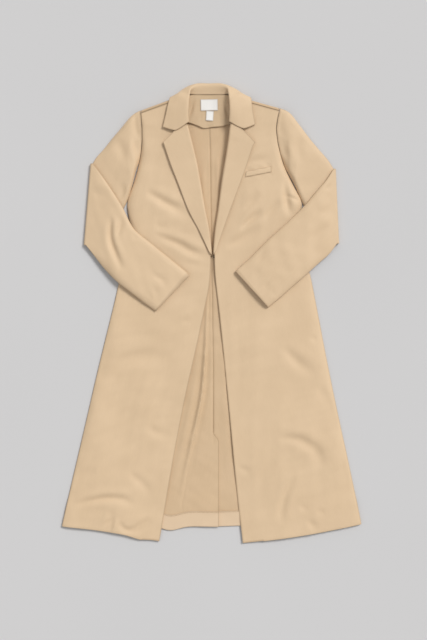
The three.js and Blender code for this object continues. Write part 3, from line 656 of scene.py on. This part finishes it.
def back_surface(side):
    sign = -1 if side == "left" else 1
    shoulder = FRONT[-1][f"{side}_side"]
    stations = []
    for row in BACK:
        seam = row[f"{side}_side"]
        x = centre_seam(row["centre_y"]) + sign * (SEAM_HALF_GAP - row["overlap"])
        inner_z = BACK_Z + (row["raised"] if side == "left" else 0)
        y, share = row["centre_y"], row["neck_share"]
        stations.append((
            (*seam, BACK_Z),
            (mix(seam[0], x, share), mix(seam[1], y, share), BACK_Z),
            (mix(seam[0], x, VENT_SHARE), mix(seam[1], y, VENT_SHARE), inner_z),
            (x, y, inner_z),
        ))
    for row in SHOULDER_TURN:
        y = row["centre_y"]
        turn = NECK_TURN[side]
        neck = NECK_POINT[side]
        side_y = shoulder[1] + row["beyond"]
        stations.append((
            (float(armhole_at(side, side_y)[0]), side_y, row["side_z"]),
            (neck[0], neck[1] + row["beyond"], row["neck_z"]),
            (turn[0], turn[1] - (CENTRE_BACK["neck_y"] - y) * TURN_FOLLOWS, row["turn_z"]),
            (float(centre_seam(y)) + sign * SEAM_HALF_GAP, y, row["centre_z"]),
        ))
    stations = np.array(stations, float)
    gaps = np.linalg.norm(np.diff(stations[:, 0], axis=0), axis=1)
    centre_gaps = np.linalg.norm(np.diff(stations[:, 3], axis=0), axis=1)
    gaps = np.maximum(gaps, centre_gaps)
    knots = np.concatenate([[0], np.cumsum(gaps)])
    at = np.concatenate([
        np.linspace(a, b, max(1, round((b - a) / ROW_STEP)) + 1)[:-1] for a, b in zip(knots, knots[1:])
    ] + [knots[-1:]])
    smooth = eased_curve(knots, stations.reshape(len(stations), -1), at).reshape(len(at), 4, 3)
    spans = [np.linspace(k, k + 1, count + 1)[:-1] for k, count in enumerate(BACK_COLUMNS)]
    columns = np.concatenate([*spans, [len(BACK_COLUMNS)]])
    k = np.minimum(columns.astype(int), 2)
    share = (columns - k)[None, :, None]
    points = smooth[:, k] * (1 - share) + smooth[:, k + 1] * share
    x, y = points[..., 0], points[..., 1]
    inner = np.exp(-((x / 120) ** 4)) * eased((520 - y) / 60)
    lift = relief(f"back_{side}", x, y, 21, 0.5) + BACK_EASE
    from_seam = np.abs(x - centre_seam(y))
    in_vent = eased((VENT_TOP - y) / 30)
    lift -= SEAM_GROOVE["depth"] * np.exp(-((from_seam / SEAM_GROOVE["width"]) ** 2)) * (1 - in_vent)
    points[..., 2] += np.maximum(lift, 0) * inner
    if side == "left":
        dip = HEM_DIP["depth"] * np.exp(-(((x - HEM_DIP["x"]) / HEM_DIP["width"]) ** 2))
        points[..., 1] -= dip * eased((HEM_DIP["below"] - y) / HEM_DIP["over"])
    hem = turned_hem(points, 1)
    return np.concatenate([hem, points])


def sleeve_surfaces(side):
    """Outer and inner layer of a sleeve, from the armhole round the elbow's fold to the cuff."""
    sign = 1 if side == "left" else -1

    def fold_row(turn):
        angle = math.radians(turn)
        z = BACK_Z + ELBOW_FOLD * (1 - math.cos(angle))
        inset = sign * ELBOW_FOLD * (1 - math.sin(angle))
        row = {"level": "fold", "outer_z": z, "loft": ELBOW["loft"], "a_z": z, "b_z": z}
        for name in (f"{side}_a", f"{side}_b"):
            x, y = ELBOW[name]
            row[name] = (x + inset, y)
        return row

    names = ("outer_z", "loft", "a_z", "b_z", f"{side}_a", f"{side}_b")
    upper = Stations([*UPPER_ARM, fold_row(0)], f"{side}_a", SLEEVE_ROW_STEP)
    lower = Stations([fold_row(180), *FOREARM], f"{side}_b", SLEEVE_ROW_STEP)
    folds = [fold_row(turn) for turn in FOLD_TURNS]
    values = {}
    for name in names:
        middle = np.array([row[name] for row in folds], float)
        values[name] = np.concatenate([upper.get(name), middle, lower.get(name)])
    turns = np.radians(np.concatenate([
        np.zeros(len(upper.at)), FOLD_TURNS, np.full(len(lower.at), 180),
    ]))
    share = edge_shares(34, both=True)[None, :]
    outer = np.zeros((len(turns), share.size, 3))
    a, b = values[f"{side}_a"], values[f"{side}_b"]
    outer[..., :2] = a[:, None] + (b - a)[:, None] * share[..., None]
    outer_z, loft, a_z, b_z = (values[name][:, None] for name in names[:4])
    near_a, near_b = 1 - rounded(share), 1 - rounded(1 - share)
    outer[..., 2] = outer_z + (a_z - outer_z) * near_a + (b_z - outer_z) * near_b
    open_by = np.minimum(rounded(share), rounded(1 - share))
    apart = mix(LAYER, loft, open_by)
    # The head follows the armhole's seam, less and less away from it.
    seam_x, seam_z = armhole_at(side, outer[..., 1])
    ease_knots = [upper.at[upper.row_of(level)] for level in ARMHOLE_EASE]
    ease = np.zeros((len(turns), 1))
    ease[: len(upper.at), 0] = np.interp(upper.at, ease_knots, list(ARMHOLE_EASE.values()), right=0)
    near_seam = eased(1 - upper.at / ease_knots[1])
    straight = outer[: len(upper.at), :, 0]
    seamed = seam_x[: len(upper.at)] - sign * SEAM_BESIDE
    first = straight[:1]
    outer[: len(upper.at), :, 0] = straight + (seamed[:1] - first) * near_seam[:, None]
    apart = mix(apart, np.maximum(seam_z - outer[..., 2], LAYER), ease)
    inward = np.zeros((len(turns), 1, 3))
    inward[:, 0, 2] = np.cos(turns)
    inward[:, 0, 0] = sign * np.sin(turns)
    inner = outer + inward * apart[..., None]
    x, y = outer[..., 0], outer[..., 1]
    over = (turns > math.pi * 0.6)[:, None]
    puff = open_by * np.where(over, 1, 0)
    grow = np.concatenate([np.zeros(len(upper.at) + len(folds)), eased(lower.at / 40)])[:, None]
    seed = 41 if side == "left" else 42
    room = apart - LAYER
    outer[..., 2] += puff * grow * kept_above(relief(f"under_sleeve_{side}", x, y, seed), room)
    fade = np.concatenate([
        eased(upper.at / 12) * eased((upper.at[-1] - upper.at) / 60), np.zeros(len(turns) - len(upper.at)),
    ])[:, None]
    inner[..., 2] += open_by * fade * kept_above(relief(f"top_sleeve_{side}", x, y, seed + 5), room)
    return outer, inner


LEAF_COLUMNS = 18
LEAF_STRAIGHT = 0.7  # how far the fall's outer part is drawn straight, for crisp points


def collar_surface():
    stations = np.linspace(0, len(COLLAR) - 1, 141)
    lines = np.array([column_curve(COLLAR, name, stations) for name in ("seam", "roll", "turn", "edge")])
    points = round_curve(lines, np.linspace(0, 3, 52)).transpose(1, 0, 2)
    straight = np.linspace(0, 1, LEAF_COLUMNS)[:, None, None]
    leaf = mix(lines[2][None], lines[3][None], straight).transpose(1, 0, 2)
    points[:, -LEAF_COLUMNS:, :2] = mix(points[:, -LEAF_COLUMNS:, :2], leaf[..., :2], LEAF_STRAIGHT)
    points[..., 2] = np.maximum(points[..., 2], FALL_Z)
    return points


def neck_facing_surface():
    stations = np.linspace(0, len(NECK_FACING) - 1, 81)
    top, bottom = (column_curve(NECK_FACING, name, stations) for name in ("top", "bottom"))
    share = np.linspace(0, 1, 30)[None, :, None]
    points = top[:, None] * (1 - share) + bottom[:, None] * share
    points[..., 2] -= NECK_FACING_SAG * np.sin(math.pi * share[..., 0])
    points[..., 1] += NECK_REACH * (1 - share[..., 0]) ** 4
    x, y = points[..., 0], points[..., 1]
    held = np.sin(math.pi * share[..., 0]) ** 0.5
    wave = sum(row["height"] * np.sin(x / row["stretch"] + row["phase"]) for row in NECK_WAVES)
    points[..., 2] += crease_height(x, y, CREASES["back_neck_facing"]) * held + wave * share[..., 0] ** 3
    return points


def neck_facing_height(x, y):
    tops = np.array([row["top"] for row in NECK_FACING], float)
    bottoms = np.array([row["bottom"] for row in NECK_FACING], float)
    top_y, top_z = (np.interp(x, tops[:, 0], tops[:, k]) for k in (1, 2))
    low_y, low_z = (np.interp(x, tops[:, 0], bottoms[:, k]) for k in (1, 2))
    down = (top_y - y) / (top_y - low_y)
    return mix(top_z, low_z, down) - NECK_FACING_SAG * np.sin(math.pi * down)


def tape_surface(tape):
    """A tape on the neck facing, held at its top and a little proud below."""
    u, v = np.meshgrid(np.linspace(-0.5, 0.5, 24), np.linspace(0.5, -0.5, 18))
    x, y = u * tape["width"], v * tape["height"]
    turn = tape["turn"]
    px = tape["x"] + x * math.cos(turn) - y * math.sin(turn)
    py = tape["y"] + x * math.sin(turn) + y * math.cos(turn)
    proud = tape["bulge"] * np.sin(math.pi * (u + 0.5)) * (0.5 - v)
    z = neck_facing_height(px, py) + LABEL_LIFT + proud
    return np.stack([px, py, z], axis=-1)


def welt_surface(front):
    """The breast welt, made from the front's own points and lifted off them."""
    bottom, top = (np.array(WELT[edge], float) for edge in ("bottom", "top"))
    across = np.linspace(0, 1, 40)[None, :, None]
    up = np.linspace(0, 1, 9)[:, None, None]
    flat = mix(mix(bottom[0], bottom[1], across), mix(top[0], top[1], across), up)
    body = front[:, : len(BODY_SHARES)].reshape(-1, 3)
    beside_x = np.abs(body[:, 0] - WELT_SITE["x"]) < WELT_SITE["half_width"]
    beside_y = np.abs(body[:, 1] - WELT_SITE["y"]) < WELT_SITE["half_height"]
    near = body[beside_x & beside_y]
    gap = np.linalg.norm(flat[:, :, None] - near[None, None, :, :2], axis=3)
    weight = 1 / (gap + 0.5) ** 3
    z = (weight * near[:, 2]).sum(axis=2) / weight.sum(axis=2)
    z = z + WELT["lift"] - WELT_EDGE["drop"] * (1 - rounded(up[..., 0], WELT_EDGE["rounded"]))
    return np.concatenate([flat, z[..., None]], axis=2)


# ---------------------------------------------------------------- finishes

# Painted shade: a darker brown laid into the colour along every edge and seam of the cloth, where the cloth
# turns away from the light.
EDGE_SHADE_COLOUR = (150, 122, 92)
EDGE_SHADE_STRENGTH = 0.45
THREADS = 1400  # to a metre
TAPE_THREADS = 2200


def srgb(red, green, blue):
    def linear(value):
        value /= 255
        return value / 12.92 if value <= 0.04045 else ((value + 0.055) / 1.055) ** 2.4

    return (linear(red), linear(green), linear(blue), 1)


def sum_node(tree, operation, *values):
    """A maths node, each value a number or another node's output."""
    node = tree.nodes.new("ShaderNodeMath")
    node.operation = operation
    for socket, value in zip(node.inputs, values):
        if isinstance(value, (int, float)):
            socket.default_value = value
        else:
            tree.links.new(value, socket)
    return node.outputs[0]


def noise(tree, vector, scale, detail=2):
    node = tree.nodes.new("ShaderNodeTexNoise")
    node.inputs["Scale"].default_value = scale
    node.inputs["Detail"].default_value = detail
    tree.links.new(vector, node.inputs["Vector"])
    return node.outputs["Fac"]


def on_object(tree):
    return tree.nodes.new("ShaderNodeTexCoord").outputs["Object"]


def colour_ramp(tree, value, dark, light, start=0):
    node = tree.nodes.new("ShaderNodeValToRGB")
    node.color_ramp.elements[0].position = start
    for element, colour in zip(node.color_ramp.elements, (dark, light)):
        element.color = srgb(*colour)
    tree.links.new(value, node.inputs[0])
    return node.outputs[0]


def colour_mix(tree, mask, below, above):
    """The colour above where the mask is 1."""
    node = tree.nodes.new("ShaderNodeMix")
    node.data_type = "RGBA"
    tree.links.new(mask, node.inputs["Factor"])
    tree.links.new(below, node.inputs["A"])
    node.inputs["B"].default_value = srgb(*above)
    return node.outputs["Result"]


def attribute(tree, name):
    node = tree.nodes.new("ShaderNodeAttribute")
    node.attribute_name = name
    return node.outputs["Fac"]


def new_group(name, numbers, outputs):
    """A node group on a vector and some numbers, with its two ends."""
    group = bpy.data.node_groups.new(name, "ShaderNodeTree")
    group.interface.new_socket("Vector", in_out="INPUT", socket_type="NodeSocketVector")
    for label, value in numbers.items():
        socket = group.interface.new_socket(label, in_out="INPUT", socket_type="NodeSocketFloat")
        socket.default_value = value
    for label in outputs:
        group.interface.new_socket(label, in_out="OUTPUT", socket_type="NodeSocketFloat")
    return group, group.nodes.new("NodeGroupInput").outputs, group.nodes.new("NodeGroupOutput").inputs


def weave_group():
    """Fine plain weave on the cloth's own UV, in metres: a colour mask and a height."""
    group, given, result = new_group("suiting weave", {"Threads": 1400.0, "Slub": 0.5}, ("Mask", "Height"))
    split = group.nodes.new("ShaderNodeSeparateXYZ")
    group.links.new(given["Vector"], split.inputs[0])
    waves = []
    for axis in ("X", "Y"):
        count = sum_node(group, "MULTIPLY", split.outputs[axis], given["Threads"])
        waves.append(sum_node(group, "SINE", sum_node(group, "MULTIPLY", count, 2 * math.pi)))
    stretch = group.nodes.new("ShaderNodeMapping")
    stretch.inputs["Scale"].default_value = (1, 0.12, 1)
    group.links.new(given["Vector"], stretch.inputs["Vector"])
    slub = noise(group, stretch.outputs[0], 260, detail=3)
    cross = sum_node(group, "MULTIPLY", *waves)
    group.links.new(sum_node(group, "MULTIPLY_ADD", slub, given["Slub"], cross), result["Height"])
    group.links.new(slub, result["Mask"])
    return group


def stitch_group():
    """A row of short stitches across a sheet, at a distance from its first row: a mask."""
    sizes = {"Offset": 0.003, "Width": 0.0007, "Length": 0.0035}
    group, given, result = new_group("hem stitches", sizes, ("Mask",))
    split = group.nodes.new("ShaderNodeSeparateXYZ")
    group.links.new(given["Vector"], split.inputs[0])
    from_line = sum_node(group, "ABSOLUTE", sum_node(group, "SUBTRACT", split.outputs["Y"], given["Offset"]))
    on_line = sum_node(group, "LESS_THAN", from_line, given["Width"])
    along = sum_node(group, "FRACT", sum_node(group, "DIVIDE", split.outputs["X"], given["Length"]))
    stitch = sum_node(group, "LESS_THAN", along, 0.6)
    group.links.new(sum_node(group, "MULTIPLY", on_line, stitch), result["Mask"])
    return group


def use_group(tree, group, vector):
    node = tree.nodes.new("ShaderNodeGroup")
    node.node_tree = group
    tree.links.new(vector, node.inputs["Vector"])
    return node


def new_material(name):
    material = bpy.data.materials.new(name)
    material.use_nodes = True
    return material, material.node_tree, material.node_tree.nodes["Principled BSDF"].inputs


def cloth_finish(name, light, dark, threads, roughness, sheen, bump, hem=None):
    material, tree, shader = new_material(name)
    shader["Roughness"].default_value = roughness
    shader["Sheen Weight"].default_value = sheen
    shader["Sheen Roughness"].default_value = 0.4
    shader["Specular IOR Level"].default_value = 0.3
    uv = tree.nodes.new("ShaderNodeUVMap")
    uv.uv_map = "cloth"
    woven = use_group(tree, WEAVE, uv.outputs[0])
    woven.inputs["Threads"].default_value = threads
    cloud = noise(tree, on_object(tree), 9, detail=4)
    both = sum_node(tree, "MULTIPLY_ADD", woven.outputs["Mask"], 0.35, cloud)
    colour = colour_ramp(tree, both, dark, light, start=0.35)
    if hem:
        turned = attribute(tree, "turned")
        colour = colour_mix(tree, turned, colour, hem["band"])
        stitches = use_group(tree, hem["stitches"], uv.outputs[0])
        sewn = sum_node(tree, "MULTIPLY", stitches.outputs["Mask"], turned)
        colour = colour_mix(tree, sewn, colour, hem["thread"])
    # Painted shade along edges and seams, mixed in by the edge mask stored as the seam attribute.
    shade = sum_node(tree, "MULTIPLY", attribute(tree, "seam"), EDGE_SHADE_STRENGTH)
    tree.links.new(colour_mix(tree, shade, colour, EDGE_SHADE_COLOUR), shader["Base Color"])
    relief_node = tree.nodes.new("ShaderNodeBump")
    relief_node.inputs["Strength"].default_value = bump
    relief_node.inputs["Distance"].default_value = 0.0002
    tree.links.new(woven.outputs["Height"], relief_node.inputs["Height"])
    tree.links.new(relief_node.outputs[0], shader["Normal"])
    return material


def metal_finish():
    material, tree, shader = new_material("dark lacquered wire")
    shader["Metallic"].default_value = 0.9
    wear = noise(tree, on_object(tree), 900)
    tree.links.new(colour_ramp(tree, wear, (62, 56, 50), (104, 96, 86)), shader["Base Color"])
    rough = tree.nodes.new("ShaderNodeMapRange")
    rough.inputs["To Min"].default_value = 0.3
    rough.inputs["To Max"].default_value = 0.5
    tree.links.new(wear, rough.inputs["Value"])
    tree.links.new(rough.outputs[0], shader["Roughness"])
    return material


WEAVE = weave_group()
HEM_BAND = {"band": (226, 199, 167), "thread": (178, 148, 112), "stitches": stitch_group()}
CLOTHS = table(
    ("slot", "name", "light", "dark", "threads", "roughness", "sheen", "bump", "hem"),
    ("face_cloth", "suiting face", (226, 198, 163), (217, 189, 154), THREADS, 0.55, 0.22, 0.25, None),
    ("inside_cloth", "suiting inside", (219, 190, 155), (209, 180, 144), THREADS, 0.75, 0.12, 0.3, HEM_BAND),
    ("facing_cloth", "neck facing", (216, 189, 155), (206, 179, 144), THREADS, 0.7, 0.12, 0.3, None),
    ("label_tape", "label tape", (245, 243, 239), (236, 233, 228), TAPE_THREADS, 0.55, 0.1, 0.2, None),
)
FINISHES = {row.pop("slot"): cloth_finish(**row) for row in CLOTHS}
FINISHES["dark_metal"] = metal_finish()


# ---------------------------------------------------------------- making the pieces

EDGE_SHADE_REACH = 2.6  # how far the painted shade along an edge or seam reaches
EDGE_SHADE_STEPS = 8
SHARP_FROM = math.radians(50)


def lengths_across(points, cells):
    """Widest row and longest column of the cloth in a grid, and its area."""
    held = np.zeros(points.shape[:2], bool)
    held[:-1, :-1] |= cells
    steps = np.linalg.norm(np.diff(points, axis=1), axis=2)[:-1] * cells
    rises = np.linalg.norm(np.diff(points, axis=0), axis=2)[:, :-1] * cells
    face = np.cross(points[1:, 1:] - points[:-1, :-1], points[1:, :-1] - points[:-1, 1:])
    area = (np.linalg.norm(face, axis=2) / 2 * cells).sum()
    return steps.sum(axis=1).max(), rises.sum(axis=0).max(), area


def flat_chart(points):
    """Each point's place on the cloth laid out, in metres: across it and along it."""
    along = np.zeros(points.shape[:2])
    across = np.zeros(points.shape[:2])
    middle = points.shape[1] // 3
    along[1:] = np.cumsum(np.linalg.norm(np.diff(points[:, middle], axis=0), axis=1))[:, None]
    across[:, 1:] = np.cumsum(np.linalg.norm(np.diff(points, axis=1), axis=2), axis=1)
    return np.stack([across.ravel(), along.ravel()], axis=1) * MM


def painted_edge_shade(points, cells):
    """1 on the outline of the cloth in a grid, fading to 0 over a few millimetres: where painted shade
    darkens the cloth along its edges and seams.
    """
    filled = np.zeros((cells.shape[0] + 2, cells.shape[1] + 2), bool)
    filled[1:-1, 1:-1] = cells
    inside = filled[:-1, :-1] & filled[1:, :-1] & filled[:-1, 1:] & filled[1:, 1:]
    far = np.where(inside, EDGE_SHADE_REACH, 0.0)
    across = np.linalg.norm(np.diff(points, axis=1), axis=2)
    along = np.linalg.norm(np.diff(points, axis=0), axis=2)
    for _ in range(EDGE_SHADE_STEPS):
        far[:, 1:] = np.minimum(far[:, 1:], far[:, :-1] + across)
        far[:, :-1] = np.minimum(far[:, :-1], far[:, 1:] + across)
        far[1:] = np.minimum(far[1:], far[:-1] + along)
        far[:-1] = np.minimum(far[:-1], far[1:] + along)
    return (1 - far / EDGE_SHADE_REACH).astype(np.float32)


def make_cloth(name, slot, points, cells=None, thickness=WALL, hem_rows=0):
    """Closed cloth round a grid of points in millimetres."""
    cells = all_cells(points) if cells is None else cells
    number = np.arange(points.shape[0] * points.shape[1]).reshape(points.shape[:2])
    corners = (number[:-1, :-1], number[:-1, 1:], number[1:, 1:], number[1:, :-1])
    quads = np.stack([corner[cells] for corner in corners], axis=1)
    kept, quads = np.unique(quads, return_inverse=True)
    quads = quads.reshape(-1, 4)
    flat = points.reshape(-1, 3)[kept] * MM
    mesh = bpy.data.meshes.new(name)
    mesh.from_pydata(flat.tolist(), [], quads.tolist())
    layer = mesh.uv_layers.new(name="cloth")
    layer.data.foreach_set("uv", flat_chart(points)[kept][quads.ravel()].ravel())
    turned = np.zeros(points.shape[:2], np.float32)
    turned[:hem_rows] = 1
    # The seam attribute carries the painted shade along edges and seams.
    for label, values in (("turned", turned), ("seam", painted_edge_shade(points, cells))):
        mesh.attributes.new(label, "FLOAT", "POINT").data.foreach_set("value", values.ravel()[kept])
    piece = bpy.data.objects.new(f"{name}_cloth", mesh)
    bpy.context.scene.collection.objects.link(piece)
    solid = piece.modifiers.new("cloth", "SOLIDIFY")
    solid.thickness = thickness * MM
    solid.offset = 0
    bpy.context.view_layer.objects.active = piece
    bpy.ops.object.modifier_apply(modifier=solid.name)
    mesh = piece.data
    mesh.shade_smooth()
    mesh.set_sharp_from_angle(angle=SHARP_FROM)
    mesh.materials.append(FINISHES[slot])
    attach(piece, "root")
    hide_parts(name)
    width, length, area = lengths_across(points, cells)
    return piece


bpy.ops.object.select_all(action="DESELECT")
for side in ("left", "right"):
    back, front = (f"{layer}_{side}" for layer in ("back", "front"))
    points, front_cells, facing_cells = front_surface(side)
    inside = -LAYER if side == "left" else LAYER
    facing = moved(points, front_cells | facing_cells, inside)
    outer, inner = sleeve_surfaces(side)
    make_cloth(back, "inside_cloth", back_surface(side), hem_rows=HEM_ROWS)
    make_cloth(front, "face_cloth", points, front_cells)
    make_cloth(f"front_facing_{side}", "face_cloth", facing, facing_cells)
    sleeve = make_cloth(f"under_sleeve_{side}", "face_cloth", outer)
    make_cloth(f"top_sleeve_{side}", "face_cloth", inner)
    if side == "right":
        make_cloth("breast_welt", "face_cloth", welt_surface(points))

collar = collar_surface()
whole = all_cells(collar)
top_collar = moved(collar, whole, -COLLAR_LAYER)
top_collar[..., 2] = np.maximum(top_collar[..., 2], BACK_Z)
make_cloth("under_collar", "face_cloth", collar)
make_cloth("top_collar", "face_cloth", top_collar)
make_cloth("back_neck_facing", "facing_cloth", neck_facing_surface())
for name, tape in (("neck_label", LABEL), ("size_tab", TAB)):
    make_cloth(name, "label_tape", tape_surface(tape), thickness=TAPE_WALL)

# ---------------------------------------------------------------- hook and eye

WIRE = 1.3
CLOSING = {"x": 2.2, "y": 153, "z": 4.4}


def wire_start(name, x, y, z):
    """A round end of wire that faces along X, ready to be drawn out."""
    bpy.ops.object.select_all(action="DESELECT")
    place = ((CLOSING["x"] + x) * MM, (CLOSING["y"] + y) * MM, (CLOSING["z"] + z) * MM)
    bpy.ops.mesh.primitive_circle_add(
        vertices=16, radius=WIRE / 2 * MM, fill_type="NGON", location=place, rotation=(0, math.pi / 2, 0)
    )
    piece = bpy.context.object
    piece.name = name
    bpy.ops.object.transform_apply(location=True, rotation=True, scale=True)
    bpy.ops.object.mode_set(mode="EDIT")
    bpy.ops.mesh.select_all(action="SELECT")
    return piece


def draw_out(x, y, z):
    bpy.ops.mesh.extrude_region_move(TRANSFORM_OT_translate={"value": (x * MM, y * MM, z * MM)})


def bend_round(x, y, z, axis, angle):
    centre = ((CLOSING["x"] + x) * MM, (CLOSING["y"] + y) * MM, (CLOSING["z"] + z) * MM)
    bpy.ops.mesh.spin(steps=18, dupli=False, angle=math.radians(angle), center=centre, axis=axis)


def wire_end(piece, node):
    bpy.ops.mesh.select_all(action="SELECT")
    bpy.ops.mesh.remove_doubles(threshold=1e-6)
    bpy.ops.mesh.normals_make_consistent(inside=False)
    bpy.ops.object.mode_set(mode="OBJECT")
    piece.data.shade_smooth()
    piece.data.set_sharp_from_angle(angle=SHARP_FROM)
    piece.data.materials.append(FINISHES["dark_metal"])
    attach(piece, "root")
    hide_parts(node)


eye = wire_start("eye_wire", 8, 2.4, 0)
draw_out(-6.2, 0, 0)
bend_round(1.8, 0, 0, (0, 0, 1), 180)
draw_out(6.2, 0, 0)
wire_end(eye, "eye")

hook = wire_start("hook_wire", -9, 0, 0.2)
draw_out(6, 0, 0.4)
draw_out(2.8, 0, 1.5)
draw_out(1.6, 0, 0.5)
bend_round(1.4, 0, 1.3, (0, 1, 0), 170)
wire_end(hook, "hook")

# ---------------------------------------------------------------- floor, light, camera

FLOOR_SIZE = 12.0
FLOOR_DROP = 0.0003


def pale_floor():
    bpy.ops.mesh.primitive_plane_add(size=FLOOR_SIZE, location=(0, 0, -FLOOR_DROP))
    floor = bpy.context.object
    floor.name = "floor"
    material, tree, shader = new_material("pale floor")
    shader["Roughness"].default_value = 0.9
    shader["Specular IOR Level"].default_value = 0.1
    cloud = noise(tree, on_object(tree), 1.3)
    tree.links.new(colour_ramp(tree, cloud, (207, 206, 206), (211, 210, 210)), shader["Base Color"])
    floor.data.materials.append(material)


def sun(name, strength, softness, azimuth, elevation):
    data = bpy.data.lights.new(name, "SUN")
    data.energy = strength
    data.angle = math.radians(softness)
    lamp = bpy.data.objects.new(name, data)
    bpy.context.scene.collection.objects.link(lamp)
    lamp.rotation_euler = (math.radians(90 - elevation), 0, math.radians(azimuth))


pale_floor()
sun("key", 2.15, 20, 135, 47)
sun("fill", 0.2, 60, -60, 60)
world = bpy.data.worlds.new("studio")
world.use_nodes = True
world.node_tree.nodes["Background"].inputs["Color"].default_value = (1, 1, 1, 1)
world.node_tree.nodes["Background"].inputs["Strength"].default_value = 0.43
scene = bpy.context.scene
scene.world = world
scene.view_settings.view_transform = "Standard"

VIEW_HEIGHT = 1.728
CAMERA_HEIGHT = 3.2
SENSOR = 36.0
lens = bpy.data.cameras.new("camera")
lens.sensor_width = SENSOR
lens.lens = SENSOR * CAMERA_HEIGHT / VIEW_HEIGHT
camera = bpy.data.objects.new("camera", lens)
camera.location = (0.005, -0.018, CAMERA_HEIGHT)
scene.collection.objects.link(camera)
scene.camera = camera
